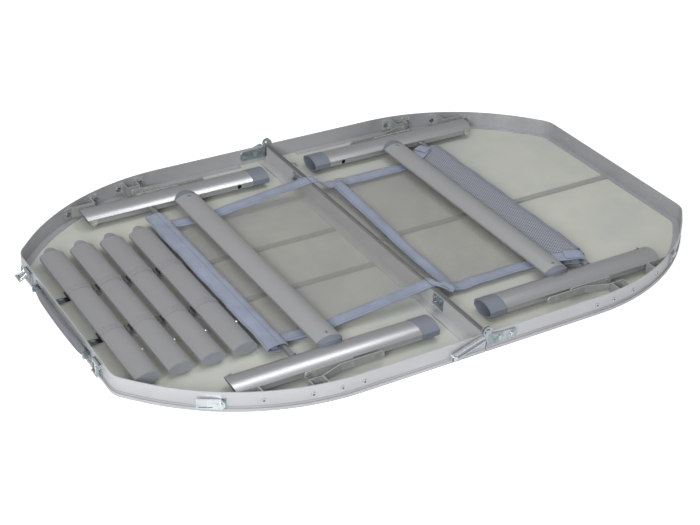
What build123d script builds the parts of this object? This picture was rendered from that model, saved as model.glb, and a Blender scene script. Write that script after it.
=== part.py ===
from build123d import *

import os
from math import atan2, cos, degrees, hypot, radians, sin, sqrt

# Suitcase-style folding camp table, lying on its working face and opened flat.
# Millimetres. X runs along the length, Y across it, Z up. The origin is on the working face,
# on the fold line, midway between the two long sides. "left" is the half with the handle (-X).

# Plan of the rim: an octagon with rounded corners.
half_length = 600.0
half_width = 390.0
side_corner_x = 441.0  # where the long side would meet the corner's slant
end_corner_y = 211.0  # where the short side would meet it
side_radius = 438.0
end_radius = 43.0

# Rim and boards.
rim_height = 37.0
rim_wall = 2.0
lip_height = 6.0
lip_out = 1.5
groove_z = 10.0
groove_height = 1.4
groove_depth = 0.5
board_thickness = 3.5
board_gap = 0.1
ledge_width = 12.0
ledge_thickness = 1.6
fold_gap = 1.2
left_board_edge = -1.6
right_board_edge = -0.8

# Fold line.
fold_z = 40.5
fold_web = 3.0
fold_flange = 18.0
fold_rail_half = 382.0
ear_radius = 9.5
fold_pin_radius = 3.0
leaf_length = 62.0
leaf_thickness = 2.2
leaf_screws = ((26.0, 23.0), (52.0, 22.0))  # x and z on the leaf
lock_pivot = (68.0, 12.5)
lock_tip = (13.0, 31.0)
lock_depth = 5.0
lock_width = 13.0
running_gap = 0.08

# Folded legs: flat oval tubes that lie beside the long rims.
leg_width = 50.0
leg_height = 26.0
leg_side = 5.0
leg_wall = 1.6
leg_y = 304.0
leg_z = 20.0
pivot_x = 428.0
leg_end_x = 443.0  # top of the slanted pivot end
leg_low_end_x = 431.0
collar_x = 89.0
foot_x = 54.0
button_hole_x = 120.0
button_hole_radius = 4.5
leg_pin_radius = 4.0

# Crossbars and shelf rods.
crossbar_x = 239.0
crossbar_width = 48.0
crossbar_height = 20.0
crossbar_z = 27.5
crossbar_half = 272.0
crossbar_cap = 16.0
crossbar_wall = 1.6
crossbar_screw_y = 262.0
rod_x = 310.0
rod_radius = 5.0
rod_half = 290.0
rod_shoulder_y = 274.0

# Folding stays: two equal links a leg; the pivots on the leg and on the rim share one line when folded.
stay_reach = 115.0  # leg pivot to either stay pivot
stay_link = stay_reach / sqrt(2)
stay_tail = 54.0
stay_width = 14.0
stay_thickness = 2.5
stay_pin_radius = 3.0
bracket_low_z = 9.0
bracket_high_z = 31.0
stay_bracket_half = 14.0
stay_bracket_wall = 2.0
leg_bracket_half = 24.0
leg_bracket_wall = 2.5
flange_length = 18.0  # bolted feet on both sides of each bracket
flange_wall = 2.0
flange_bolt_reach = 11.0

# Leg extensions in their clips.
ext_width = 45.0
ext_height = 21.6
ext_side = 2.5
ext_wall = 1.5
ext_front_y = -217.0
ext_back_y = 201.0
ext_first_x = -543.0
ext_pitch = 58.0
ext_z = 20.0
ext_count = 4
button_y = -143.0
button_radius = 3.5
foot_tip_width = 27.0
foot_tip_length = 14.0
clip_rail_y = 71.0
clip_rail_width = 12.0
clip_rail_height = 4.2

# Shelf net.
net_half = 227.0
net_thickness = 1.6
net_low_z = 14.6
net_top_z = 38.8
net_inner_end = 292.0
net_outer_start = 158.0
net_outer_end = 297.0
left_drop_x = 150.0
right_drop_x = 44.0
hem_half = 245.0
hem_radius = 7.4
hem_flap = 28.5

# Handle and latches.
handle_y = 98.0
handle_bow = 6.0
handle_axis_out = 7.0
handle_pin_radius = 2.4
barrel_length = 12.0
latch_y = 155.0
arc_latch_x = 469.0
latch_open_angle = 55.0
latch_hinge = (5.0, 30.0)  # out from the rim, and up
latch_half = 14.0
lever_half = 10.5
plate_back, plate_face = 0.1, 1.8  # a fitting's plate, out from the rim
swing_latch_z = 17.5
swing_latch_length = 38.0

# Screws and rivets.
screw_places = (241.0, 281.0, 331.0, 408.0)  # outside the long rims
end_rivet_places = (130.0, 150.0)  # inside the end rims
screw_radius = 4.0
rivet_radius = 3.2
rivet_height = 1.2
bolt_height = 2.6

RIGHT, LEFT = 1, -1
os.makedirs("parts", exist_ok=True)


def box(x0, x1, y0, y1, z0, z1):
    """Box between two corners."""
    centre = Pos((x0 + x1) / 2, (y0 + y1) / 2, (z0 + z1) / 2)
    return centre * Box(abs(x1 - x0), abs(y1 - y0), abs(z1 - z0))


def flip_x(shape):
    return mirror(shape, about=Plane.YZ)


def flip_y(shape):
    return mirror(shape, about=Plane.XZ)


def pair(shape):
    """The piece on the +Y side and its twin on the -Y side."""
    return [shape, flip_y(shape)]


def save(name, *pieces):
    """Write one node; each argument or list entry is one or more solids."""
    solids = []
    for piece in pieces:
        for item in piece if isinstance(piece, list) else [piece]:
            solids += item.solids()
    export_step(Compound(solids), f"parts/{name}.step")


def side_of(shape, side):
    """A piece drawn for the right half, or its mirror image for the left one."""
    return shape if side == RIGHT else flip_x(shape)


def oval(width, height, side):
    """Flat oval section: two shallow arcs joined by short straight sides."""
    w, h = width / 2, height / 2
    edges = [
        Line((w, -side), (w, side)),
        ThreePointArc((w, side), (0, h), (-w, side)),
        Line((-w, side), (-w, -side)),
        ThreePointArc((-w, -side), (0, -h), (w, -side)),
    ]
    face = make_face(edges)
    return fillet(face.vertices(), 1.2)


def along_x(section, x0, x1, y, z):
    plane = Plane(origin=(x0, y, z), x_dir=(0, 1, 0), z_dir=(1, 0, 0))
    return extrude(plane * section, x1 - x0)


def along_y(section, x, y0, y1, z):
    plane = Plane(origin=(x, y1, z), x_dir=(1, 0, 0), z_dir=(0, -1, 0))
    return extrude(plane * section, y1 - y0)


def along_z(section, z0, z1):
    return extrude(Pos(0, 0, z0) * section, z1 - z0)


def pin_x(x0, x1, y, z, radius):
    return along_x(Circle(radius), x0, x1, y, z)


def pin_y(x, y0, y1, z, radius):
    return along_y(Circle(radius), x, y0, y1, z)


def bar(x0, x1, y0, y1, z, width):
    """Flat link with round ends between two pivot lines."""
    slot = SlotCenterToCenter(abs(x1 - x0), width)
    return along_y(slot, (x0 + x1) / 2, y0, y1, z)


def plan(inset=0.0):
    """Plan of the whole table, moved in from its edge."""
    corners = []
    for sx, sy in ((1, 1), (-1, 1), (-1, -1), (1, -1)):
        ends = [(sx * half_length, sy * end_corner_y), (sx * side_corner_x, sy * half_width)]
        corners += ends if sx * sy > 0 else ends[::-1]
    face = make_face(Polyline(*corners, close=True))
    long_ones = [v for v in face.vertices() if abs(v.X) < half_length - 1]
    face = fillet(long_ones, side_radius)
    short_ones = [v for v in face.vertices() if abs(v.X) > half_length - 1 and abs(v.Y) > 1]
    face = fillet(short_ones, end_radius)
    return offset(face, -inset) if inset else face


def ring(outer, inner, z0, z1):
    """Band that follows the rim between two insets."""
    return along_z(plan(outer) - plan(inner), z0, z1)


slant = atan2(half_width - end_corner_y, half_length - side_corner_x)
arc_start_x = side_corner_x - side_radius * (1 - cos(slant)) / sin(slant)
arc_centre_y = half_width - side_radius


def rim_y(x):
    """Half width of the plan at this distance from the fold line."""
    run = abs(x) - arc_start_x
    if run <= 0:
        return half_width
    return arc_centre_y + sqrt(side_radius**2 - run**2)


def rim_angle(x):
    """Direction in degrees, about Z, that the +X +Y part of the rim faces at x."""
    run = max(abs(x) - arc_start_x, 0.0)
    return degrees(atan2(rim_y(x) - arc_centre_y, run))


def half_box(side, edge=fold_gap):
    """Everything on one half of the table."""
    far = half_length + 60
    x0, x1 = (edge, far) if side == RIGHT else (-far, -edge)
    return box(x0, x1, -half_width - 60, half_width + 60, -1, 200)


whole_inside = along_z(plan(rim_wall + board_gap), 0, 100)


def rim(side):
    shell = ring(0, rim_wall, 0, rim_height)
    shell += ring(-lip_out, 0, 0, lip_height)
    shell -= ring(-3, groove_depth, groove_z, groove_z + groove_height)
    ledge_z = board_thickness + board_gap
    ledge = ring(rim_wall, rim_wall + ledge_width, ledge_z, ledge_z + ledge_thickness)
    clear = leaf_length + 4
    ledge -= box(-clear, clear, -half_width, half_width, 0, 20)
    return (shell + ledge) & half_box(side)


def board(side):
    sheet = along_z(plan(rim_wall + board_gap), 0, board_thickness)
    if side == RIGHT:
        return sheet & box(right_board_edge, half_length, -half_width, half_width, -1, 10)
    return sheet & box(-half_length, left_board_edge, -half_width, half_width, -1, 10)


def fold_rail():
    """Angle along the fold line: a web the height of the rim and a foot on the board."""
    y = fold_rail_half
    web = box(fold_gap, fold_gap + fold_web, -y, y, board_thickness, rim_height)
    foot = box(fold_gap, fold_gap + fold_web + fold_flange, -y, y, board_thickness, board_thickness + 2)
    bead = pin_y(fold_gap + fold_web / 2, -y, y, rim_height - 1.6, 2.2)
    bead &= box(fold_gap, fold_gap + 6, -y, y, rim_height - 4, rim_height)
    return web + foot + bead


rail_start_x = fold_gap + fold_web + fold_flange + 1.5


def stiffener(y):
    """Inverted channel riveted to the board, from the fold rail to the end rim."""
    z0, z1 = board_thickness, board_thickness + clip_rail_height
    x1 = half_length - rim_wall - ledge_width - 1.5
    half = clip_rail_width / 2
    channel = box(rail_start_x, x1, y - half, y + half, z0, z1)
    channel -= box(rail_start_x, x1, y - half + 1.2, y + half - 1.2, z0, z1 - 1.2)
    for x in (rail_start_x + 60, (rail_start_x + x1) / 2):
        channel += Pos(x, y, z1) * Cylinder(2.6, 1.0, align=(Align.CENTER, Align.CENTER, Align.MIN))
    return channel


clip_foot_x = ext_first_x - 34
clip_foot_top = board_thickness + clip_rail_height + 1.8


def clip(x, y):
    """Spring clip that cradles one extension tube up to its widest level."""
    low = board_thickness + clip_rail_height
    base = box(x - 13, x + 13, y - 7, y + 7, low, ext_z - 7)
    arms = along_y(oval(ext_width + 6.4, ext_height + 3.4, ext_side), x, y - 7, y + 7, ext_z)
    arms &= box(x - 40, x + 40, y - 20, y + 20, low, ext_z + 1)
    body = base + arms - along_y(oval(ext_width + 0.6, ext_height + 0.6, ext_side), x, y - 9, y + 9, ext_z)
    if x == ext_first_x:
        body += box(clip_foot_x - 5, x - 10, y - 6, y + 6, low, clip_foot_top)
    return body


def clip_screw(y):
    """Screw and plate washer that hold the foot of the outermost clip."""
    washer = box(-8, 6, -6.5, 6.5, 0, 1)
    head = Pos(0, 0, 1) * Cylinder(screw_radius, rivet_height, align=(Align.CENTER, Align.CENTER, Align.MIN))
    head -= Pos(0, 0, 1 + rivet_height) * Box(5.5, 1.0, 1.0)
    return Pos(clip_foot_x, y, clip_foot_top) * (washer + head)


def ear_plate(length, y0, y1):
    """Hinge leaf on the rim near the fold line, with a round ear about the hinge axis."""
    outline = Polyline(
        (2, 12), (length - 4, 12), (length, 16), (length, 28), (length - 4, 32), (26, 33), (8, 36), (-6, 36),
        (-4, 30), close=True
    )
    plate = along_y(make_face(outline), 0, y0, y1, 0)
    return plate + pin_y(0, y0, y1, fold_z, ear_radius)


outer_leaf_y = half_width + 0.1
inner_leaf_y = half_width - rim_wall - 0.2


def right_leaf():
    """Outer leaf of the right half; it carries the hinge pin."""
    y0, y1 = outer_leaf_y, outer_leaf_y + leaf_thickness
    plate = ear_plate(leaf_length, y0, y1)
    pin = pin_y(0, inner_leaf_y - leaf_thickness - 2.2, y1 + 2, fold_z, fold_pin_radius)
    pin += pin_y(0, inner_leaf_y - leaf_thickness - 2.4, inner_leaf_y - leaf_thickness - 0.3, fold_z, 5.5)
    pin += pin_y(0, y1, y1 + 2, fold_z, 5.5)
    for x, z in leaf_screws:
        plate += pin_y(x, y1, y1 + 1.4, z, screw_radius)
    return plate + pin


def left_leaf():
    """Inner leaf of the left half, bored for the hinge pin (drawn at +X, then mirrored)."""
    y1 = inner_leaf_y
    y0 = y1 - leaf_thickness
    plate = ear_plate(leaf_length, y0, y1)
    plate -= pin_y(0, y0 - 1, y1 + 1, fold_z, fold_pin_radius + running_gap)
    for x, z in leaf_screws:
        plate += pin_y(x + 3, y0 - rivet_height, y0, z, screw_radius)
    return plate


lock_y = outer_leaf_y + leaf_thickness + 0.6


def lock_arm():
    """Pressed channel that keeps the hinge from folding (drawn at +X)."""
    dx, dz = lock_tip[0] - lock_pivot[0], lock_tip[1] - lock_pivot[1]
    length = hypot(dx, dz)
    turn = degrees(atan2(dz, -dx))
    centre = ((lock_pivot[0] + lock_tip[0]) / 2, (lock_pivot[1] + lock_tip[1]) / 2)
    section = SlotCenterToCenter(length, lock_width)
    y1 = lock_y + lock_depth
    plane = Plane(origin=(centre[0], y1, centre[1]), x_dir=(cos(radians(turn)), 0, -sin(radians(turn))),
                  z_dir=(0, -1, 0))
    body = extrude(plane * section, lock_depth)
    hollow = extrude(plane * SlotCenterToCenter(length + 10, lock_width - 5), 3.4)
    arm = body - hollow
    return arm - pin_y(lock_pivot[0], lock_y - 2, y1 + 2, lock_pivot[1], 2.5 + running_gap)


def lock_pin():
    """Stud on the left rim that the lock arm turns on."""
    x, z = lock_pivot
    stud = pin_y(x, outer_leaf_y, lock_y + lock_depth + 0.4, z, 2.5)
    stud += pin_y(x, outer_leaf_y, lock_y - 0.2, z, 5)
    return stud + pin_y(x, lock_y + lock_depth + 0.4, lock_y + lock_depth + 2, z, 4.2)


def leg(sy=1):
    """One leg tube of the right frame, drawn at +Y."""
    outer = oval(leg_width, leg_height, leg_side)
    inner = oval(leg_width - 2 * leg_wall, leg_height - 2 * leg_wall, leg_side - 0.4)
    tube = along_x(outer, collar_x, leg_end_x, leg_y, leg_z)
    tube -= along_x(inner, collar_x - 1, leg_end_x + 1, leg_y, leg_z)
    top, bottom = leg_z + leg_height / 2, leg_z - leg_height / 2
    slope = Polyline(
        (leg_end_x, top), (leg_low_end_x, bottom), (leg_low_end_x, bottom - 1), (leg_end_x + 1, bottom - 1),
        (leg_end_x + 1, top), close=True
    )
    tube -= along_y(make_face(slope), 0, leg_y - leg_width, leg_y + leg_width, 0)
    inside, outside = leg_y - leg_width / 2, leg_y + leg_width / 2
    tube -= pin_y(pivot_x, inside - 1, outside + 1, leg_z, leg_pin_radius + running_gap)
    tube -= pin_y(button_hole_x, inside - 1, leg_y, leg_z, button_hole_radius)
    tube -= pin_y(rod_x, inside - 1, leg_y, leg_z, rod_radius + 0.1)
    return tube


def collar():
    """Plastic foot collar that guides the extension tube."""
    ring_outer = oval(leg_width + 1.6, leg_height + 1.6, leg_side)
    bore = oval(ext_width + 1.4, ext_height + 1.2, ext_side + 0.4)
    sleeve = along_x(ring_outer, foot_x, collar_x, leg_y, leg_z)
    return sleeve - along_x(bore, foot_x - 1, collar_x + 1, leg_y, leg_z)


def leg_space(gap):
    """Room that a crossbar end leaves around the leg."""
    section = oval(leg_width + 2 * gap, leg_height + 2 * gap, leg_side)
    return along_x(section, crossbar_x - 60, crossbar_x + 60, leg_y, leg_z)


def crossbar():
    outer = oval(crossbar_width, crossbar_height, 2.0)
    inner = oval(crossbar_width - 2 * crossbar_wall, crossbar_height - 2 * crossbar_wall, 1.6)
    beam = along_y(outer, crossbar_x, -crossbar_half, crossbar_half, crossbar_z)
    return beam - along_y(inner, crossbar_x, -crossbar_half - 1, crossbar_half + 1, crossbar_z)


def crossbar_end():
    """Plastic end cap, round in plan and coped to sit on the leg."""
    section = oval(crossbar_width, crossbar_height, 2.0)
    cap = along_y(section, crossbar_x, crossbar_half, crossbar_half + crossbar_cap, crossbar_z)
    round_end = Pos(crossbar_x, crossbar_half, 0) * Ellipse(crossbar_width / 2, crossbar_cap)
    return cap & along_z(round_end, 0, 60) - leg_space(0.1)


def shelf_rod():
    rod = pin_y(rod_x, -rod_half, rod_half, leg_z, rod_radius)
    for shoulder in pair(pin_y(rod_x, rod_shoulder_y, rod_shoulder_y + 3, leg_z, rod_radius + 2)):
        rod += shoulder
    return rod


stay_x = pivot_x - stay_reach
leg_face_y = leg_y + leg_width / 2
leg_link_y = leg_face_y + 2
rim_link_y = leg_link_y + 6
rim_pivot_y = rim_link_y + 14.4
stay_plate_y = rim_pivot_y + stay_thickness + 2.1


def stay_rivet():
    """Rivet on the leg that the leg link turns on."""
    y = leg_face_y
    rivet = pin_y(stay_x, y, leg_link_y - 0.2, leg_z, 5)
    rivet += pin_y(stay_x, y, leg_link_y + 3, leg_z, stay_pin_radius)
    return rivet + pin_y(stay_x, leg_link_y + 3, leg_link_y + 4.5, leg_z, 5.2)


def crossbar_screw():
    """Cross-slotted screw near the end of the crossbar."""
    head = Cylinder(rivet_radius, rivet_height, align=(Align.CENTER, Align.CENTER, Align.MIN))
    head -= Pos(0, 0, rivet_height) * Box(4.6, 0.9, 1.0)
    head -= Pos(0, 0, rivet_height) * Box(0.9, 4.6, 1.0)
    return Pos(crossbar_x, crossbar_screw_y, crossbar_z + crossbar_height / 2) * head


def leg_link():
    """Stay link that turns on the leg; a stub marks its middle joint."""
    y0, y1 = leg_link_y, leg_link_y + stay_thickness
    link = bar(stay_x, stay_x - stay_link, y0, y1, leg_z, stay_width)
    link -= pin_y(stay_x, y0 - 1, y1 + 1, leg_z, stay_pin_radius + running_gap)
    return link + pin_y(stay_x - stay_link, y1, rim_link_y - 0.6, leg_z, stay_pin_radius)


def rim_link():
    """Stay link that turns on the rim bracket and jogs inwards, with a finger tail past its middle joint."""
    t = stay_thickness
    near, jog_start, jog_end = stay_x + stay_width, stay_x - 14, stay_x - 58
    far = stay_x - stay_link - stay_tail
    outline = Polyline(
        (near, rim_pivot_y), (jog_start, rim_pivot_y), (jog_end, rim_link_y), (far - stay_width, rim_link_y),
        (far - stay_width, rim_link_y + t), (jog_end, rim_link_y + t), (jog_start, rim_pivot_y + t),
        (near, rim_pivot_y + t), close=True
    )
    strip = along_z(make_face(outline), leg_z - stay_width / 2, leg_z + stay_width / 2)
    link = strip & bar(stay_x, far, rim_link_y - 1, rim_pivot_y + t + 1, leg_z, stay_width)
    link -= pin_y(stay_x, rim_pivot_y - 1, rim_pivot_y + t + 1, leg_z, stay_pin_radius + running_gap)
    for along in (stay_link, stay_link + stay_tail - 14):
        link += pin_y(stay_x - along, rim_link_y + t, rim_link_y + t + rivet_height, leg_z, 4.5)
    return link


def hat_bracket(x, half, plate_y, wall):
    """Bent bracket: a face plate parallel to the rim, two returns to it and a bolted flange on each side."""
    z0, z1 = bracket_low_z, bracket_high_z
    hat = box(x - half, x + half, plate_y, half_width, z0, z1)
    flanges = ring(rim_wall + board_gap, rim_wall + board_gap + flange_wall, z0, z1)
    flanges &= box(x - half - flange_length, x + half + flange_length, 0, half_width, z0, z1)
    hollow = box(x - half + wall, x + half - wall, plate_y + wall, half_width + 1, z0 - 1, z1 + 1)
    return (hat & whole_inside) + flanges - hollow


def stay_bracket():
    bracket = hat_bracket(stay_x, stay_bracket_half, stay_plate_y, stay_bracket_wall)
    bracket += pin_y(stay_x, rim_pivot_y - 0.4, stay_plate_y, leg_z, stay_pin_radius)
    return bracket + pin_y(stay_x, rim_pivot_y - 1.6, rim_pivot_y - 0.4, leg_z, 5.2)


def leg_bracket():
    plate_y = leg_face_y + 2.5
    bracket = hat_bracket(pivot_x, leg_bracket_half, plate_y, leg_bracket_wall)
    inside = leg_y - leg_width / 2
    bracket += pin_y(pivot_x, inside - 0.5, plate_y, leg_z, leg_pin_radius)
    return bracket + pin_y(pivot_x, inside - 3, inside - 0.5, leg_z, 6.5)


def screw_on_rim(x, z=20.0):
    """Cross-slotted screw on the outside of the rim at +Y."""
    turn = rim_angle(x)
    head = Cylinder(screw_radius, 1.4, align=(Align.CENTER, Align.CENTER, Align.MIN))
    head -= Pos(0, 0, 1.0) * Box(1.0, 5.0, 1.2)
    head -= Pos(0, 0, 1.0) * Box(5.0, 1.0, 1.2)
    return Pos(abs(x), rim_y(x), z) * Rot(0, 0, turn) * Rot(0, 90, 0) * head


def flange_bolt(x):
    """Bolt head with a washer on a bracket flange at +Y."""
    turn = rim_angle(x)
    inner_end = (Align.CENTER, Align.CENTER, Align.MAX)
    head = Cylinder(screw_radius + 0.8, 1, align=inner_end)
    head += Cylinder(rivet_radius, bolt_height, align=inner_end)
    inward = rim_wall + board_gap + flange_wall + 0.1
    x0 = x - inward * cos(radians(turn))
    y0 = rim_y(x) - inward * sin(radians(turn))
    return Pos(x0, y0, leg_z) * Rot(0, 0, turn) * Rot(0, 90, 0) * head


def side_fasteners():
    """Screws, bolts and rivets of the right half."""
    pieces = []
    for x in screw_places:
        pieces += pair(screw_on_rim(x))
    for x, half in ((stay_x, stay_bracket_half), (pivot_x, leg_bracket_half)):
        for reach in (-half - flange_bolt_reach, half + flange_bolt_reach):
            pieces += pair(flange_bolt(x + reach))
    inner_face = half_length - rim_wall
    for y in end_rivet_places:
        pieces += pair(pin_x(inner_face - rivet_height, inner_face, y, 22, rivet_radius))
    return pieces


# Latches are drawn facing +X on a flat face at x = 0, then placed around the rim.
def latch_base():
    """Plate with two cheeks, a hinge pin between them and two rivets."""
    x, z = latch_hinge
    cheek = 2.4
    plate = box(plate_back, plate_face, -latch_half, latch_half, 9, z + 4)
    for y in (-latch_half, latch_half - cheek):
        plate += box(plate_face, x + 1.5, y, y + cheek, z - 5, z + 3)
    plate += pin_y(x, -latch_half, latch_half, z, 1.6)
    for rivet_z in (13, 19):
        plate += pin_x(plate_face, plate_face + 1, 0, rivet_z, 2.6)
    return plate


def latch_lever():
    """Sheet lever with a rolled hinge, a rolled grip edge and the U-shaped wire that pulls on the keeper."""
    x, z = latch_hinge
    wire_x, wire_half, wire_low = x + 4.0, 7, 14
    lever = box(x + 1.0, x + 2.8, -lever_half, lever_half, 10, z)
    lever += pin_y(x, -lever_half, lever_half, z, 3.0)
    lever += pin_y(x + 3.4, -lever_half, lever_half, 10.6, 2.4)
    for y in (-wire_half, wire_half):
        lever += Pos(wire_x, y, 21) * Cylinder(1.2, 14)
    lever += pin_y(wire_x, -wire_half, wire_half, wire_low, 1.2)
    return lever - pin_y(x, -12, 12, z, 1.6 + running_gap)


def swing_base():
    """Plate and pivot stud of the corner latch."""
    z, half = swing_latch_z, 9
    plate = box(plate_back, plate_face, -half, half, z - half, z + half)
    plate += pin_x(plate_face, 2.6, 0, z, 6)
    plate += pin_x(2.6, 9.2, 0, z, 2.6)
    return plate + pin_x(9.2, 11.2, 0, z, 5)


def swing_latch():
    """Channel arm lying along the rim, open underneath, that swings up about its stud."""
    z, end, half = swing_latch_z, -swing_latch_length, 8
    back, face, wall = 2.9, 8.8, 1.4
    arm = box(back, face, end, 0, z - half, z + half) + pin_x(back, face, 0, z, half)
    arm -= box(back + wall, face - wall, end - 1, -10, z - half - 1, z + half - 1.6)
    arm -= box(7, 10, end + 4, -12, z - 4.6, z - 2.8)
    return arm - pin_x(2, 10, 0, z, 2.6 + running_gap)


def keeper():
    """Plate with a hooked lip for a latch, and two rivets."""
    lip_half, lip_z, lip_top, lip_face = 9, 30.5, 32.2, 6.0
    plate = box(plate_back, plate_face, -12, 12, 12, 34)
    plate += box(plate_face, lip_face, -lip_half, lip_half, lip_z, lip_top)
    plate += box(lip_face - 1.6, lip_face, -lip_half, lip_half, 26, lip_top)
    for y in (-7, 7):
        plate += pin_x(plate_face, plate_face + 1, y, 18, 2.4)
    return plate


def around_rim(shape, x, sx, sy):
    """Place a latch piece on the curved side of the rim."""
    angle = radians(rim_angle(x))
    facing = degrees(atan2(sy * sin(angle), sx * cos(angle)))
    return Pos(sx * x, sy * rim_y(x), 0) * Rot(0, 0, facing) * shape


def on_left_end(shape, y):
    return Pos(-half_length, y, 0) * Rot(0, 0, 180) * shape


def handle_mount():
    """Lug at one end of the carry handle, drawn at +Y."""
    x = -half_length
    lug_y = handle_y + 14.2
    plate = box(x - plate_face, x - plate_back, handle_y - 2, handle_y + 26, 11, 29)
    plate += box(x - 12, x - plate_face, lug_y, lug_y + 3.8, 14, 26)
    plate += pin_y(x - handle_axis_out, handle_y - 2, lug_y, ext_z, handle_pin_radius)
    return plate + pin_x(x - 3, x - plate_face, handle_y + 21.5, ext_z, 2.6)


def carry_handle():
    """Moulded strap bowed away from the rim, with a barrel at each end."""
    x = -half_length - handle_axis_out
    reach = handle_y + 8
    outer = ThreePointArc((x - 4.0, -reach), (x - handle_bow, 0), (x - 4.0, reach))
    inner = ThreePointArc((x + 1.0, reach), (x - handle_bow + 5.5, 0), (x + 1.0, -reach))
    ends = [Line(outer @ 1, inner @ 0), Line(inner @ 1, outer @ 0)]
    strap = along_z(make_face([outer, inner] + ends), ext_z - 10, ext_z + 10)
    strap = fillet(strap.edges().filter_by(GeomType.CIRCLE), 1.5)
    for y in (-handle_y - barrel_length, handle_y):
        strap += pin_y(x, y, y + barrel_length, ext_z, 5)
    for bore in pair(pin_y(x, handle_y - 8, handle_y + 18, ext_z, handle_pin_radius + running_gap)):
        strap -= bore
    return strap


def fold_catch():
    """Zinc catch on the left fold rail, drawn at +X and +Y."""
    x = fold_gap + fold_web + 0.05
    thick = 1.6
    catch = box(x, x + thick, 238, 268, 11, 33)
    catch += box(x, x + 12, 250, 264, 20, 20 + thick)
    for y, z in ((243, 27), (243, 16), (262, 28)):
        catch += pin_x(x + thick, x + 4.2, y, z, 3.4)
    return catch


def fold_hook():
    """Bent wire hook beside the right fold rail."""
    x, z = fold_gap + fold_web + 4.5, 30.0
    wire_radius, bend, bend_y = 1.8, 4, 300
    foot = box(x - 4.45, x - 2.6, 268, 290, 18, 33)
    wire = pin_y(x, 270, bend_y, z, wire_radius)
    tip = Pos(x + bend, bend_y, z) * Torus(bend, wire_radius)
    wire += tip & box(x - 10, x + 12, bend_y, bend_y + 20, z - 5, z + 5)
    wire += pin_y(x + 2 * bend, 290, bend_y, z, wire_radius)
    return foot + wire + box(x - 3, x, 274, 284, z - wire_radius, z + wire_radius)


def extension_tube(x):
    outer = oval(ext_width, ext_height, ext_side)
    inner = oval(ext_width - 2 * ext_wall, ext_height - 2 * ext_wall, ext_side - 0.4)
    tube = along_y(outer, x, ext_front_y, ext_back_y, ext_z)
    tube -= along_y(inner, x, ext_front_y - 1, ext_back_y + 1, ext_z)
    return tube - pin_x(x, x + ext_width, button_y, ext_z, button_radius + 0.1)


def extension_plugs(x):
    """Flat cap at the button end, and a rounded foot tip at the other."""
    front = along_y(oval(ext_width + 0.8, ext_height + 0.8, ext_side), x, ext_front_y - 3, ext_front_y, ext_z)
    plate = along_y(oval(ext_width - 1.5, ext_height - 0.8, ext_side), x, ext_back_y, ext_back_y + 2, ext_z)
    section = oval(foot_tip_width, ext_height - 1.2, 6)
    tip = along_y(section, x, ext_back_y + 2, ext_back_y + foot_tip_length, ext_z)
    tip &= along_z(Pos(x, ext_back_y, 0) * Ellipse(foot_tip_width / 2, foot_tip_length), 0, 60)
    return [front, plate + tip]


def extension_button(x):
    """Spring button riveted to its V spring, which moves with it."""
    face = x + ext_width / 2
    dome = Pos(face + 0.6, button_y, ext_z) * Sphere(button_radius)
    button = pin_x(face - 6, face + 0.6, button_y, ext_z, button_radius) + dome
    spring = box(face - 7, face - 6, button_y - 6, button_y + 34, ext_z - 4, ext_z + 4)
    spring += box(face - 36, face - 6, button_y + 33, button_y + 34, ext_z - 4, ext_z + 4)
    return button + spring


def net_panel(drop_x, start_x, end_x, lift):
    """Panel of the shelf net, draped from the top of the fold rail to its low level."""
    top, low = net_top_z + lift, net_low_z + lift
    slope = (low - top) / (drop_x - 9)

    def level(x):
        if x <= 9:
            return top
        return top + slope * (x - 9) if x < drop_x else low

    turns = [x for x in (start_x, 9, drop_x, end_x) if start_x <= x <= end_x]
    upper = [(x, level(x)) for x in turns]
    lower = [(x, z - net_thickness) for x, z in reversed(upper)]
    face = make_face(Polyline(*upper, *lower, close=True))
    return along_y(face, 0, -net_half, net_half, 0)


def net_hem():
    """Fabric sleeve around the shelf rod with a flap pointing away from the fold line."""
    sleeve = pin_y(rod_x, -hem_half, hem_half, leg_z, hem_radius)
    flap_z = leg_z + rod_radius + 1.0
    sleeve += box(rod_x, rod_x + hem_flap, -hem_half, hem_half, flap_z, flap_z + 1.4)
    return sleeve - pin_y(rod_x, -hem_half - 1, hem_half + 1, leg_z, rod_radius + 0.3)


# The two halves.
for half_side, half_name in ((RIGHT, "right"), (LEFT, "left")):
    save(f"{half_name}_board", board(half_side))
    save(f"{half_name}_rim", rim(half_side))
    save(f"{half_name}_fold_rail", side_of(fold_rail(), half_side))
    brackets = pair(stay_bracket()) + pair(leg_bracket())
    save(f"{half_name}_brackets", [side_of(piece, half_side) for piece in brackets])
    fasteners = [side_of(piece, half_side) for piece in side_fasteners()]
    if half_side == LEFT:
        fasteners += [clip_screw(y) for y in (-clip_rail_y, clip_rail_y)]
    save(f"{half_name}_fasteners", fasteners)
save("centre_rib", stiffener(0))
save("clip_rails", [flip_x(stiffener(y)) for y in (-clip_rail_y, clip_rail_y)])
save("right_hinge_leaves", pair(right_leaf()))
save("left_hinge_leaves", [flip_x(piece) for piece in pair(left_leaf()) + pair(lock_pin())])
save("fold_catches", [flip_x(piece) for piece in pair(fold_catch())])
save("fold_hook", fold_hook())
back_arm = flip_x(lock_arm())
save("back_lock_arm", back_arm)
save("front_lock_arm", flip_y(back_arm))

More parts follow.
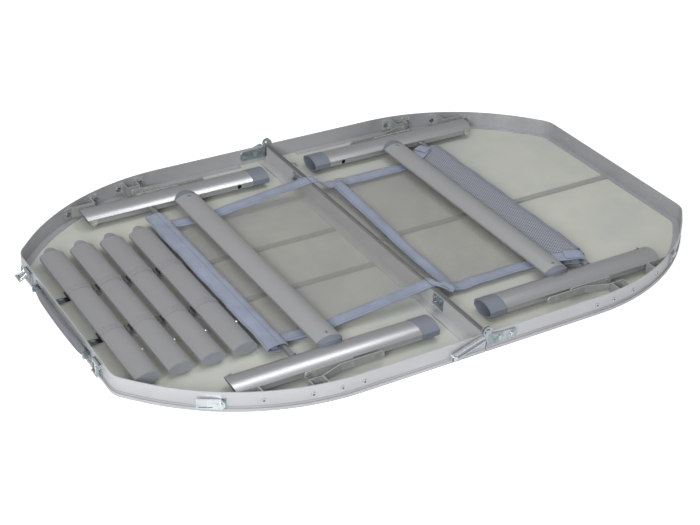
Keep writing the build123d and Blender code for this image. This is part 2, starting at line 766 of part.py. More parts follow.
# Leg frames with their stays.
for half_side, half_name in ((RIGHT, "right"), (LEFT, "left")):
    save(f"{half_name}_back_leg", side_of(leg(), half_side))
    save(f"{half_name}_front_leg", side_of(flip_y(leg()), half_side))
    plastics = pair(collar()) + pair(crossbar_end())
    save(f"{half_name}_leg_plastics", [side_of(piece, half_side) for piece in plastics])
    save(f"{half_name}_crossbar", side_of(crossbar(), half_side))
    save(f"{half_name}_shelf_rod", side_of(shelf_rod(), half_side))
    rivets = pair(stay_rivet()) + pair(crossbar_screw())
    save(f"{half_name}_leg_rivets", [side_of(piece, half_side) for piece in rivets])
    save(f"{half_name}_leg_links", [side_of(piece, half_side) for piece in pair(leg_link())])
    save(f"{half_name}_rim_links", [side_of(piece, half_side) for piece in pair(rim_link())])

# Shelf net.
for half_side, half_name, drop in ((RIGHT, "right", right_drop_x), (LEFT, "left", left_drop_x)):
    inner_panel = net_panel(drop, fold_gap, net_inner_end, 0)
    outer_panel = net_panel(drop, net_outer_start, net_outer_end, net_thickness + 0.5)
    save(f"{half_name}_net", side_of(inner_panel, half_side))
    save(f"{half_name}_net_end", side_of(outer_panel, half_side))
    save(f"{half_name}_net_hem", side_of(net_hem(), half_side))

# Extensions and their clips.
ext_places = [ext_first_x + i * ext_pitch for i in range(ext_count)]
save("tube_clips", [clip(x, y) for x in ext_places for y in (-clip_rail_y, clip_rail_y)])
for number, place in enumerate(ext_places, 1):
    save(f"extension_{number}_tube", extension_tube(place))
    save(f"extension_{number}_plugs", extension_plugs(place))
    save(f"extension_{number}_button", extension_button(place))

# Carrying and closing.
save("carry_handle", carry_handle())
end_bases = [on_left_end(latch_base(), y) for y in (-latch_y, latch_y)]
arc_base = around_rim(swing_base(), arc_latch_x, LEFT, -1)
save("left_end_fittings", end_bases, arc_base, pair(handle_mount()))
lever_axis = Axis((latch_hinge[0], 0, latch_hinge[1]), (0, -1, 0))
open_lever = latch_lever().rotate(lever_axis, latch_open_angle)
save("back_latch_lever", on_left_end(open_lever, latch_y))
save("front_latch_lever", on_left_end(latch_lever(), -latch_y))
save("corner_latch_lever", around_rim(swing_latch(), arc_latch_x, LEFT, -1))
end_keepers = [Pos(half_length, y, 0) * keeper() for y in (-latch_y, latch_y)]
save("latch_keepers", end_keepers, around_rim(keeper(), arc_latch_x, RIGHT, -1))
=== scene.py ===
import math

import bmesh
import bpy
import numpy as np
from mathutils import Matrix, Vector


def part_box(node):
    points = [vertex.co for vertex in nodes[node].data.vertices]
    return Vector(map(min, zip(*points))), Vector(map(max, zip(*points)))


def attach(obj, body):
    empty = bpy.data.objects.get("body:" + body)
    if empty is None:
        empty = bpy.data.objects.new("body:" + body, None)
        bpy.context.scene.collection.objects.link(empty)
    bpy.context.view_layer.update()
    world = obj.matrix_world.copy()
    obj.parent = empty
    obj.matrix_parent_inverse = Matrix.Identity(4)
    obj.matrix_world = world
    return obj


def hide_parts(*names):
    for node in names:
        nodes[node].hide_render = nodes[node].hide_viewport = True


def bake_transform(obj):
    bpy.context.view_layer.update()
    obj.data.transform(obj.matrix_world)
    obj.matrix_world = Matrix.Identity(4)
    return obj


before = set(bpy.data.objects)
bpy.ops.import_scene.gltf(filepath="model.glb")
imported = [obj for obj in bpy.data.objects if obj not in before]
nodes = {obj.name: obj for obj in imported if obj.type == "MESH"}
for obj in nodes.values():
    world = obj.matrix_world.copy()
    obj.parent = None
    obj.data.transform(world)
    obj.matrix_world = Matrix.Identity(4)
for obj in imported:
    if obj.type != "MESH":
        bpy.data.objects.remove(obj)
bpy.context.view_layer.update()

# Suitcase-style folding camp table, opened flat with its underside up. Metres, in the frame of the packed
# model: x runs from the handle end (negative) over the fold line at 0, y runs across the table, z is up.
MM = 0.001
SIDES = (("left", -1), ("right", 1))


# ---------------------------------------------------------------- materials

def srgb(red, green, blue):
    """Linear colour from 0-255 display values."""
    return tuple(((c / 255 + 0.055) / 1.055) ** 2.4 for c in (red, green, blue)) + (1.0,)


def scaled(shade, red, green=None, blue=None, offset=0.0):
    """The colour with its channels multiplied, all alike if only one factor is given, and kept at 1 or less."""
    factors = (red, red if green is None else green, red if blue is None else blue)
    return tuple(min(1.0, c * k + offset) for c, k in zip(shade, factors)) + (1.0,)


# Sockets of the Mix node that belong to its colour mode.
MIX_FACTOR, MIX_FIRST, MIX_SECOND, MIX_RESULT = 0, 6, 7, 2
NOISE_ROUGHNESS = 0.6
NOISE_FROM, NOISE_TO = 0.3, 0.7  # nearly all of a noise lies between these
WORN_FROM, WORN_TO = 0.52, 0.60  # pointiness of an edge that starts to wear, and of a fully worn one


class Finish:
    """A Principled material whose inputs come from procedural nodes in object space."""

    def __init__(self, name, metallic, roughness):
        self.material = bpy.data.materials.new(name)
        self.material.use_nodes = True
        self.tree = self.material.node_tree
        self.body = self.tree.nodes["Principled BSDF"]
        self.body.inputs["Metallic"].default_value = metallic
        self.body.inputs["Roughness"].default_value = roughness
        self.place = self.tree.nodes.new("ShaderNodeTexCoord").outputs["Object"]
        self.relief = None

    def node(self, kind, **inputs):
        """Adds a node and fills its inputs; an underscore stands for a space in an input's name."""
        made = self.tree.nodes.new(kind)
        for key, value in inputs.items():
            self.put(made.inputs[key.replace("_", " ")], value)
        return made

    def put(self, socket, value):
        """Links an output socket to this socket, or gives it a plain value."""
        if isinstance(value, bpy.types.NodeSocket):
            self.tree.links.new(value, socket)
        else:
            socket.default_value = value

    def mapped(self, scale, turn=(0, 0, 0)):
        """Object coordinates, scaled and turned."""
        return self.node("ShaderNodeMapping", Vector=self.place, Scale=scale, Rotation=turn).outputs["Vector"]

    def noise(self, scale, detail, stretch=(1, 1, 1)):
        """Cloudy noise from 0 to 1."""
        made = self.node("ShaderNodeTexNoise", Vector=self.mapped(stretch), Scale=scale, Detail=detail,
                         Roughness=NOISE_ROUGHNESS)
        return made.outputs["Fac"]

    def cells(self, scale):
        """Voronoi cells, as a node with Color and Distance outputs."""
        return self.node("ShaderNodeTexVoronoi", Vector=self.place, Scale=scale)

    def wave(self, pitch, direction, distortion, turn=(0, 0, 0)):
        """Bands 0 to 1 that repeat every pitch metres."""
        made = self.node("ShaderNodeTexWave", Vector=self.mapped((1, 1, 1), turn), Scale=math.pi / (10 * pitch),
                         Distortion=distortion)
        made.wave_type = "BANDS"
        made.bands_direction = direction
        return made.outputs["Fac"]

    def remap(self, value, low, high, to_low, to_high):
        """The value's range low to high, moved to another range and clamped."""
        made = self.node("ShaderNodeMapRange", Value=value, From_Min=low, From_Max=high, To_Min=to_low,
                         To_Max=to_high)
        return made.outputs["Result"]

    def spread(self, noise, to_low, to_high):
        """Nearly all of a noise's range, moved to another range and clamped."""
        return self.remap(noise, NOISE_FROM, NOISE_TO, to_low, to_high)

    def combine(self, first, second, operation="ADD"):
        """Two values through one Math node."""
        made = self.node("ShaderNodeMath")
        made.operation = operation
        self.put(made.inputs[0], first)
        self.put(made.inputs[1], second)
        return made.outputs["Value"]

    def mix(self, factor, first, second, blend_type="MIX"):
        """The first colour, covered by the second as far as the factor says."""
        made = self.node("ShaderNodeMix")
        made.data_type = "RGBA"
        made.blend_type = blend_type
        self.put(made.inputs[MIX_FACTOR], factor)
        self.put(made.inputs[MIX_FIRST], first)
        self.put(made.inputs[MIX_SECOND], second)
        return made.outputs[MIX_RESULT]

    def edges(self):
        """1 on worn outer edges, 0 elsewhere."""
        sharp = self.node("ShaderNodeNewGeometry").outputs["Pointiness"]
        return self.remap(sharp, WORN_FROM, WORN_TO, 0.0, 1.0)

    def colour(self, value):
        self.put(self.body.inputs["Base Color"], value)

    def rough(self, value):
        self.put(self.body.inputs["Roughness"], value)

    def bump(self, height, depth, strength=1.0):
        """Adds a bump of this depth in metres on top of any earlier one."""
        made = self.node("ShaderNodeBump", Height=height, Distance=depth, Strength=strength)
        if self.relief is not None:
            self.put(made.inputs["Normal"], self.relief)
        self.relief = made.outputs["Normal"]
        self.put(self.body.inputs["Normal"], self.relief)


def drawn_metal(name, shade, along, metallic, roughness, painted_shade_above=None):
    """Anodised extrusion: fine die lines along one axis, faint blotches, brighter worn edges.

    Above a given height the metal is painted dark: painted shade for the shadowed gap between the two rails along
    the fold."""
    finish = Finish(name, metallic, roughness)
    lines_across, lines_along = 260.0, 2.5
    lines = finish.noise(4.0, 3.0, tuple(lines_along if axis == along else lines_across for axis in "XYZ"))
    blotch = finish.noise(9.0, 4.0)
    dust = finish.noise(900.0, 2.0)
    tone = finish.mix(finish.spread(blotch, 0.0, 1.0), scaled(shade, 0.86), shade)
    tone = finish.mix(finish.remap(lines, 0.35, 0.75, 0.0, 0.5), tone, scaled(shade, 1.12))
    tone = finish.mix(finish.combine(finish.edges(), 0.4, "MULTIPLY"), tone, srgb(206, 207, 209))
    if painted_shade_above is not None:
        # painted shade: above the given height the rail is coloured dark, standing for the shadow in the gap
        # between the rails
        height = finish.node("ShaderNodeSeparateXYZ", Vector=finish.place).outputs["Z"]
        gap_shade_mask = finish.remap(height, painted_shade_above, painted_shade_above + 0.8 * MM, 0.0, 0.8)
        tone = finish.mix(gap_shade_mask, tone, srgb(74, 76, 78))
    finish.colour(tone)
    uneven = finish.combine(finish.spread(lines, -0.06, 0.07), finish.spread(dust, -0.03, 0.03))
    finish.rough(finish.combine(uneven, roughness))
    finish.bump(lines, 0.04 * MM)
    finish.bump(dust, 0.02 * MM)
    return finish.material


def zinc_plate(name, shade=srgb(176, 186, 190)):
    """Bright zinc plating: bluish spangle, dull patches and bright worn edges."""
    finish = Finish(name, 0.85, 0.3)
    spangle = finish.cells(420.0).outputs["Color"]
    patch = finish.noise(60.0, 6.0)
    tone = finish.mix(0.2, shade, spangle, "OVERLAY")
    tone = finish.mix(finish.remap(patch, 0.35, 0.65, 0.0, 0.75), tone, srgb(104, 116, 122))
    tone = finish.mix(finish.combine(finish.edges(), 0.6, "MULTIPLY"), tone, srgb(232, 236, 238))
    finish.colour(tone)
    finish.rough(finish.spread(patch, 0.2, 0.44))
    finish.bump(finish.noise(700.0, 3.0), 0.04 * MM)
    return finish.material


def moulded(name, shade, grain=1600.0, roughness=0.52, depth=0.06 * MM):
    """Moulded plastic with a fine pitted grain and slightly polished edges."""
    finish = Finish(name, 0.0, roughness)
    pits = finish.cells(grain).outputs["Distance"]
    cloud = finish.noise(30.0, 4.0)
    lighter = scaled(shade, 1.3, offset=0.01)
    tone = finish.mix(finish.spread(cloud, 0.0, 0.5), shade, lighter)
    tone = finish.mix(finish.combine(finish.edges(), 0.35, "MULTIPLY"), tone, lighter)
    finish.colour(tone)
    finish.rough(finish.spread(cloud, roughness - 0.08, roughness + 0.08))
    finish.bump(pits, depth)
    return finish.material


def coated_board(name, shade):
    """Painted board: a fine orange-peel surface with faint speckle and soft handling marks."""
    finish = Finish(name, 0.05, 0.5)
    speck = finish.noise(1300.0, 2.0)
    cloud = finish.noise(7.0, 5.0)
    smear = finish.noise(5.0, 6.0, (1.0, 6.0, 1.0))
    cool, warm = scaled(shade, 0.93, 0.94, 0.96), scaled(shade, 1.06, 1.05, 1.0)
    tone = finish.mix(finish.remap(cloud, 0.35, 0.65, 0.0, 1.0), cool, warm)
    tone = finish.mix(finish.remap(speck, 0.55, 0.75, 0.0, 0.35), tone, srgb(150, 150, 142))
    finish.colour(tone)
    finish.rough(finish.spread(smear, 0.42, 0.6))
    finish.bump(finish.noise(420.0, 3.0), 0.05 * MM)
    return finish.material


def enamel(name, shade):
    """Thin grey paint on pressed steel, chipped bright at the edges."""
    finish = Finish(name, 0.25, 0.42)
    cloud = finish.noise(45.0, 5.0)
    tone = finish.mix(finish.spread(cloud, 0.0, 0.8), shade, scaled(shade, 0.8))
    patches = finish.remap(finish.noise(300.0, 3.0), 0.45, 0.6, 0.0, 0.7)
    chips = finish.combine(finish.edges(), patches, "MULTIPLY")
    tone = finish.mix(chips, tone, srgb(196, 199, 198))
    finish.colour(tone)
    finish.rough(finish.spread(cloud, 0.34, 0.52))
    finish.bump(finish.noise(600.0, 3.0), 0.04 * MM)
    return finish.material


def polished(name):
    """Polished spring button with fine handling scratches."""
    finish = Finish(name, 1.0, 0.12)
    scratch = finish.noise(60.0, 4.0, (1.0, 30.0, 1.0))
    finish.colour(finish.mix(finish.remap(scratch, 0.4, 0.7, 0.0, 0.4), srgb(236, 238, 240), srgb(190, 194, 198)))
    finish.rough(finish.remap(scratch, 0.4, 0.7, 0.08, 0.26))
    finish.bump(scratch, 0.02 * MM)
    return finish.material


def woven_tape(name, shade):
    """Grosgrain binding tape: cross ribs, lengthwise yarns, a little fuzz and fading."""
    finish = Finish(name, 0.0, 0.82)
    ribs = finish.wave(1.1 * MM, "Y", 0.6)
    yarns = finish.wave(1.1 * MM, "X", 0.6)
    weave = finish.combine(ribs, yarns, "MULTIPLY")
    fade = finish.noise(22.0, 5.0)
    fuzz = finish.noise(1800.0, 2.0)
    tone = finish.mix(finish.remap(weave, 0.0, 0.8, 0.0, 1.0), scaled(shade, 0.68), shade)
    tone = finish.mix(finish.remap(fade, 0.35, 0.7, 0.0, 0.6), tone, scaled(shade, 1.22))
    tone = finish.mix(finish.remap(fuzz, 0.6, 0.8, 0.0, 0.4), tone, srgb(190, 194, 206))
    finish.colour(tone)
    finish.bump(weave, 0.2 * MM, 0.8)
    finish.body.inputs["Sheen Weight"].default_value = 0.35
    finish.body.inputs["Sheen Roughness"].default_value = 0.5
    return finish.material


def open_mesh(name, shade, pitch, cover, painted_hole_shade=None):
    """Knitted mesh: two crossing sets of yarns that cover about this share of each band.

    The holes are open, or, where the mesh lies double, filled with a flat dark colour: painted shade for the
    shadowed space seen through them."""
    finish = Finish(name, 0.0, 0.75)
    slant = math.radians(58)
    first = finish.wave(pitch, "X", 0.4, (0, 0, slant))
    second = finish.wave(pitch, "X", 0.4, (0, 0, -slant))
    yarn = finish.combine(first, second, "MAXIMUM")
    uneven = finish.noise(28.0, 4.0)
    edge = 0.5 + 0.5 * math.cos(math.pi * cover)  # the wave's height where a yarn of this cover ends
    limit = finish.spread(uneven, edge - 0.015, edge + 0.015)
    solid = finish.combine(yarn, limit, "GREATER_THAN")
    knit = finish.mix(yarn, scaled(shade, 0.6), shade)
    if painted_hole_shade is None:
        finish.colour(knit)
        finish.put(finish.body.inputs["Alpha"], solid)
    else:
        # painted shade: the holes of the doubled mesh get a flat dark colour
        finish.colour(finish.mix(solid, painted_hole_shade, knit))
    finish.bump(yarn, 0.2 * MM, 0.6)
    finish.body.inputs["Sheen Weight"].default_value = 0.2
    return finish.material


def clear_film(name):
    """Thin clear plastic with scuffs."""
    finish = Finish(name, 0.0, 0.22)
    scuff = finish.noise(140.0, 5.0)
    finish.colour(srgb(170, 171, 174))
    finish.put(finish.body.inputs["Alpha"], finish.remap(scuff, 0.3, 0.75, 0.26, 0.36))
    finish.rough(finish.remap(scuff, 0.3, 0.75, 0.3, 0.42))
    finish.bump(scuff, 0.01 * MM)
    return finish.material


materials = {
    "rim": drawn_metal("rim_aluminium", srgb(170, 171, 175), "X", 0.35, 0.42),
    # the fold rails are painted dark above 35.4 mm: painted shade for the gap between them
    "rail": drawn_metal("rail_aluminium", srgb(158, 160, 159), "Y", 0.15, 0.6, 35.4 * MM),
    "rib": drawn_metal("rib_aluminium", srgb(160, 161, 157), "X", 0.2, 0.5),
    "leg": drawn_metal("leg_aluminium", srgb(154, 155, 159), "X", 0.7, 0.33),
    "cross": drawn_metal("cross_aluminium", srgb(128, 128, 129), "Y", 0.35, 0.44),
    "extension": drawn_metal("extension_aluminium", srgb(124, 124, 128), "Y", 0.45, 0.4),
    "board": coated_board("board_coat", srgb(188, 190, 184)),
    "grey_plastic": moulded("grey_plastic", srgb(104, 110, 120)),
    "tip_plastic": moulded("tip_plastic", srgb(124, 127, 132)),
    "black_plastic": moulded("black_plastic", srgb(26, 26, 28), 2200.0, 0.45),
    "handle": moulded("handle_plastic", srgb(104, 105, 113), 900.0, 0.55, 0.12 * MM),
    "zinc": zinc_plate("zinc_plate"),
    "screw": zinc_plate("screw_zinc", srgb(128, 136, 140)),
    "enamel": enamel("grey_enamel", srgb(160, 163, 161)),
    "chrome": polished("spring_button"),
    "tape": woven_tape("woven_tape", srgb(136, 145, 166)),
    "thread": woven_tape("sewing_thread", srgb(92, 98, 120)),
    "edge_tape": woven_tape("folded_edge_tape", srgb(116, 122, 140)),
    "mesh": open_mesh("open_mesh", srgb(152, 152, 150), 2.1 * MM, 0.11),
    # the folded mesh's holes are painted dark: painted shade for the shadow seen through the double layer
    "fold_mesh": open_mesh("folded_mesh", srgb(142, 146, 156), 4.4 * MM, 0.5, srgb(62, 66, 78)),
    "film": clear_film("clear_film"),
}


def paint(name, key):
    """Gives a CAD node its finish."""
    slots = nodes[name].data.materials
    slots.clear()
    slots.append(materials[key])


paint_plan = {
    "centre_rib": "rib", "clip_rails": "rib", "tube_clips": "black_plastic", "fold_hook": "zinc",
    "fold_catches": "zinc", "latch_keepers": "zinc", "left_end_fittings": "zinc", "carry_handle": "handle",
    "back_latch_lever": "zinc", "front_latch_lever": "zinc", "corner_latch_lever": "zinc",
    "back_lock_arm": "zinc", "front_lock_arm": "zinc",
}
for side, _ in SIDES:
    for part, key in (
        ("board", "board"), ("rim", "rim"), ("fold_rail", "rail"), ("brackets", "enamel"), ("fasteners", "screw"),
        ("hinge_leaves", "zinc"), ("back_leg", "leg"), ("front_leg", "leg"), ("leg_plastics", "grey_plastic"),
        ("crossbar", "cross"), ("shelf_rod", "leg"), ("leg_rivets", "screw"), ("leg_links", "enamel"),
        ("rim_links", "enamel"), ("net", "mesh"), ("net_end", "mesh"), ("net_hem", "tape"),
    ):
        paint_plan[f"{side}_{part}"] = key
for number in range(1, 5):
    paint_plan[f"extension_{number}_tube"] = "extension"
    paint_plan[f"extension_{number}_plugs"] = "tip_plastic"
    paint_plan[f"extension_{number}_button"] = "chrome"
for node_name, key in paint_plan.items():
    paint(node_name, key)


# ---------------------------------------------------------------- mesh helpers

def make_object(name, verts, faces, key):
    """A smooth-shaded mesh object with one finish."""
    mesh = bpy.data.meshes.new(name)
    mesh.from_pydata([tuple(v) for v in verts], [], faces)
    mesh.update()
    piece = bpy.data.objects.new(name, mesh)
    bpy.context.scene.collection.objects.link(piece)
    mesh.materials.append(materials[key])
    for polygon in mesh.polygons:
        polygon.use_smooth = True
    return piece


def sheet_mesh(points, thickness):
    """Vertices and faces of a closed sheet around a grid of mid-surface points."""
    rows, cols = points.shape[:2]
    along = np.gradient(points, axis=0)
    across = np.gradient(points, axis=1)
    normal = np.cross(along, across)
    normal /= np.linalg.norm(normal, axis=2, keepdims=True) + 1e-12
    top = points + normal * thickness / 2
    low = points - normal * thickness / 2
    verts = np.concatenate([top.reshape(-1, 3), low.reshape(-1, 3)])

    def index(i, j, layer):
        return (layer * rows + i) * cols + j

    faces = []
    for i in range(rows - 1):
        for j in range(cols - 1):
            faces.append((index(i, j, 0), index(i + 1, j, 0), index(i + 1, j + 1, 0), index(i, j + 1, 0)))
            faces.append((index(i, j, 1), index(i, j + 1, 1), index(i + 1, j + 1, 1), index(i + 1, j, 1)))
    for i in range(rows - 1):
        for j in (0, cols - 1):
            quad = (index(i, j, 0), index(i, j, 1), index(i + 1, j, 1), index(i + 1, j, 0))
            faces.append(quad if j == 0 else quad[::-1])
    for j in range(cols - 1):
        for i in (0, rows - 1):
            quad = (index(i, j, 0), index(i, j + 1, 0), index(i, j + 1, 1), index(i, j, 1))
            faces.append(quad if i == 0 else quad[::-1])
    return verts, faces


def point_outward(piece):
    """Turns every face of a closed mesh so that its normal points out."""
    work = bmesh.new()
    work.from_mesh(piece.data)
    bmesh.ops.recalc_face_normals(work, faces=work.faces)
    work.to_mesh(piece.data)
    work.free()


def sheet(name, points, thickness, key):
    """A closed sheet object around a grid of mid-surface points."""
    verts, faces = sheet_mesh(points, thickness)
    piece = make_object(name, verts, faces, key)
    point_outward(piece)
    return piece


# A stitch is a short round-ended dash of thread.
STITCH_PITCH, STITCH_LENGTH, STITCH_RADIUS = 4.2 * MM, 2.4 * MM, 0.32 * MM
STITCH_INSET = 0.5 * MM  # from the start of the seam to the first stitch
THREAD_SIDES = 6


def stitches(name, dashes):
    """Many stitches as one object: each dash is a start and an end point."""
    verts, faces = [], []
    for start, end in dashes:
        axis = (end - start).normalized()
        side = axis.orthogonal().normalized()
        other = axis.cross(side)
        cap = axis * STITCH_RADIUS * 0.6
        rings = ((start - cap, 0.45), (start, 1.0), (end, 1.0), (end + cap, 0.45))
        base = len(verts)
        for centre, scale in rings:
            for k in range(THREAD_SIDES):
                angle = 2 * math.pi * k / THREAD_SIDES
                spoke = side * math.cos(angle) + other * math.sin(angle)
                verts.append(centre + spoke * STITCH_RADIUS * scale)
        for r in range(len(rings) - 1):
            for k in range(THREAD_SIDES):
                n = (k + 1) % THREAD_SIDES
                a, b = base + r * THREAD_SIDES + k, base + r * THREAD_SIDES + n
                faces.append((a, b, b + THREAD_SIDES, a + THREAD_SIDES))
        last = base + (len(rings) - 1) * THREAD_SIDES
        faces.append(tuple(base + k for k in reversed(range(THREAD_SIDES))))
        faces.append(tuple(last + k for k in range(THREAD_SIDES)))
    return make_object(name, verts, faces, "thread")


def stitch_row(path, lift):
    """Start and end of each stitch along a row of points, raised by lift."""
    path = [Vector(p) + Vector((0, 0, lift)) for p in path]
    lengths = [0.0]
    for first, second in zip(path, path[1:]):
        lengths.append(lengths[-1] + (second - first).length)

    def at(distance):
        for i in range(len(path) - 1):
            if distance <= lengths[i + 1]:
                t = (distance - lengths[i]) / max(lengths[i + 1] - lengths[i], 1e-9)
                return path[i].lerp(path[i + 1], t)
        return path[-1]

    starts = [i * STITCH_PITCH + STITCH_INSET for i in range(int(lengths[-1] / STITCH_PITCH))]
    return [(at(start), at(start + STITCH_LENGTH)) for start in starts]


def smoothstep(value, low, high):
    """0 below low, 1 above high, and a smooth rise between."""
    t = np.clip((np.asarray(value, float) - low) / (high - low), 0, 1)
    return t * t * (3 - 2 * t)


# ---------------------------------------------------------------- shelf net

rod_low, rod_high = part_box("right_shelf_rod")
rod_x = (rod_low.x + rod_high.x) / 2
rod_z = (rod_low.z + rod_high.z) / 2
net_low, net_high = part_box("right_net")
net_half = net_high.y
net_top = net_high.z
net_flat = net_low.z + 0.8 * MM
net_end_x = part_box("right_net_end")[1].x
tape_width = 26 * MM
tape_thick = 2.0 * MM
mesh_thick = 0.6 * MM
NET_COLUMNS, NET_ROWS = 75, 90
RAIL_EDGE, SLOPE = 5 * MM, 208 * MM  # where the left half leaves the fold rail, and the length of its slope
DROP_FROM, DROP_TO = 6 * MM, 46 * MM  # where the right half falls to its slack level
BAR_IN, BAR_OUT = 208 * MM, 268 * MM  # between these the net lies still under the crossbar
ROD_RISE = 2 * MM  # lift of the net from the crossbar to the rod
SAG = 1.6 * MM


def drape(side, x, y):
    """Height of the net's mid surface, x metres out from the fold line on either side.

    The left half slopes evenly from the fold rail; the right half drops steeply to its slack level."""
    if side == "left":
        fall = 1.03 * np.clip((x - RAIL_EDGE) / SLOPE, 0, 1) - 0.03 * smoothstep(x, RAIL_EDGE, 60 * MM)
    else:
        fall = smoothstep(x, DROP_FROM, DROP_TO)
    start = net_top - tape_thick / 2
    level = start - (start - net_flat) * fall
    rise = smoothstep(x, BAR_OUT, 300 * MM) * ROD_RISE
    middle = 1 - (y / net_half) ** 2
    sag = -SAG * middle * np.sin(math.pi * np.clip(x / net_end_x, 0, 1))
    # Creases where the net hangs free: full between rail and crossbar, half between crossbar and rod.
    free = smoothstep(x, 12 * MM, 60 * MM) * (1 - smoothstep(x, 190 * MM, BAR_IN))
    free += smoothstep(x, BAR_OUT, 276 * MM) * (1 - smoothstep(x, 284 * MM, 296 * MM)) * 0.5
    waves = np.sin(x * 61 + y * 17) * 0.7 + np.sin(x * 23 - y * 39 + 1.3) * 0.9 + np.sin(y * 71 + x * 31) * 0.4
    return level + rise + sag + waves * MM * free * (0.4 + 0.6 * middle)


def net_points(side, sign, xs, ys):
    """Grid of points on the net's mid surface."""
    grid_x, grid_y = np.meshgrid(xs, ys, indexing="ij")
    return np.stack([sign * grid_x, grid_y, drape(side, grid_x, grid_y)], -1)


def ride_net(piece):
    """Applies a piece of the net's placement to its mesh, where it stays."""
    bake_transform(piece)


TAPE_COLUMNS = 7
SEAM_COLUMNS = (1, 5)  # the columns of a tape's grid that carry a row of stitches
TAPE_ROWS = 120
tape_reach = np.linspace(0.8 * MM, net_end_x, TAPE_ROWS)

# The edge tapes of the right half are puckered near the fold line, the front one less.
PUCKER_AT, PUCKER_REACH = 70 * MM, 26 * MM
PUCKER_HEIGHT, PUCKER_INWARD, FRONT_PUCKER = 7 * MM, 6 * MM, 0.35
pucker = np.exp(-((tape_reach - PUCKER_AT) / PUCKER_REACH) ** 2) * np.sin((tape_reach - 26 * MM) * 88)

for side, sign in SIDES:
    xs = np.linspace(1.0 * MM, net_end_x, NET_COLUMNS)
    ys = np.linspace(-net_half + 6 * MM, net_half - 6 * MM, NET_ROWS)
    mesh_piece = sheet(f"{side}_net_mesh", net_points(side, sign, xs, ys), mesh_thick, "mesh")
    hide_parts(f"{side}_net", f"{side}_net_end")
    ride_net(mesh_piece)
    threads = []
    for edge, word, slack in ((1, "back", 1.0), (-1, "front", FRONT_PUCKER)):
        across = np.linspace(edge * (net_half - tape_width), edge * net_half, TAPE_COLUMNS)
        points = net_points(side, sign, tape_reach, across)
        if side == "right":
            points[:, :, 2] += np.clip(pucker, -0.2, 1)[:, None] * PUCKER_HEIGHT * slack
            points[:, :, 1] -= edge * pucker[:, None] * PUCKER_INWARD * slack
        ride_net(sheet(f"{side}_net_{word}_tape", points, tape_thick, "tape"))
        for column in SEAM_COLUMNS:
            threads += stitch_row(points[:, column], tape_thick / 2 + 0.1 * MM)
    ride_net(stitches(f"{side}_net_stitches", threads))

# The seam tape that crosses the right half askew.
strip_half, strip_slant, strip_thick = 13 * MM, 11 * MM, 1.4 * MM
strip = []
for y in np.linspace(-net_half + 4 * MM, net_half - 12 * MM, 90):
    middle_x = 55 * MM + (y / net_half) * strip_slant + 1.5 * MM * math.sin(y * 21)
    row_x = middle_x + np.linspace(-strip_half, strip_half, TAPE_COLUMNS)
    row_y = np.full(TAPE_COLUMNS, y)
    strip.append(np.stack([row_x, row_y, drape("right", row_x, row_y) + 1.6 * MM], -1))
strip = np.array(strip)
ride_net(sheet("right_net_seam_tape", strip, strip_thick, "tape"))
threads = []
for column in SEAM_COLUMNS:
    threads += stitch_row(strip[:, column], strip_thick / 2 + 0.15 * MM)
ride_net(stitches("right_seam_stitches", threads))


# Hem tapes rolled loosely around the shelf rods.
HEM_ROWS = 110


def resample(path, count):
    """A section given in millimetres, as evenly spaced and slightly rounded points in metres."""
    path = np.array(path, float) * MM
    steps = np.r_[0, np.cumsum(np.linalg.norm(np.diff(path, axis=0), axis=1))]
    targets = np.linspace(0, steps[-1], count)
    section = np.stack([np.interp(targets, steps, path[:, k]) for k in range(2)], -1)
    for _ in range(3):
        section[1:-1] = section[1:-1] * 0.5 + (section[:-2] + section[2:]) * 0.25
    return section


def hem_roll(flap):
    """Section of the roll around the rod's centre, in millimetres away from the fold line and up.

    It goes over the rod and out to the flap, back under the rod, and once more round inside."""
    over = [(-14, -5), (-11, -1.5), (-6.5, 5), (0, 8), (7, 8.3), (flap * 0.6, 7.6), (flap - 4, 6.6)]
    under = [(flap, 3.4), (flap, 0.4), (flap - 4, -2.6), (flap * 0.5, -5.2), (4, -7), (-4, -7), (-8.2, -3)]
    inside = [(-7.4, 2.5), (-3, 6), (4, 6.2), (flap * 0.5, 5.2), (flap - 7, 3.4), (flap - 7, 1.2), (9, 0.6)]
    return over + under + inside


hem_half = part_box("left_net_hem")[1].y
HEM_COLUMNS = 76
HEM_SEAMS = (14, 25)  # columns on top of the roll that carry stitches
INSIDE_FROM = 0.68  # share of the section where its inner turn starts
FLAPS = {"left": 29.5, "right": 19.0}  # reach of the roll past the rod's centre, in millimetres
for side, sign in SIDES:
    flap = FLAPS[side]
    profile = resample(hem_roll(flap), HEM_COLUMNS)
    points = np.zeros((HEM_ROWS, HEM_COLUMNS, 3))
    out = smoothstep(profile[:, 0], 8 * MM, flap * MM)
    inner = np.linspace(0, 1, HEM_COLUMNS) > INSIDE_FROM
    for i, y in enumerate(np.linspace(-hem_half, hem_half, HEM_ROWS)):
        ripple = 0.7 * MM * math.sin(y * 47 + 0.6) + 0.4 * MM * math.sin(y * 113)
        lift = 0.5 * MM * math.sin(y * 61 + 1.0)
        points[i, :, 0] = sign * (rod_x + profile[:, 0] + out * ripple)
        points[i, :, 1] = y - inner * np.sign(y) * 2.5 * MM * smoothstep(abs(y), hem_half * 0.9, hem_half)
        points[i, :, 2] = rod_z + profile[:, 1] + out * lift
    hem = sheet(f"{side}_hem_roll", points, 1.0 * MM, "tape")
    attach(hem, f"{side}_net_hem")
    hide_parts(f"{side}_net_hem")
    threads = []
    for column in HEM_SEAMS:
        threads += stitch_row(points[:, column], 0.7 * MM)
    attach(stitches(f"{side}_hem_stitches", threads), f"{side}_net_hem")

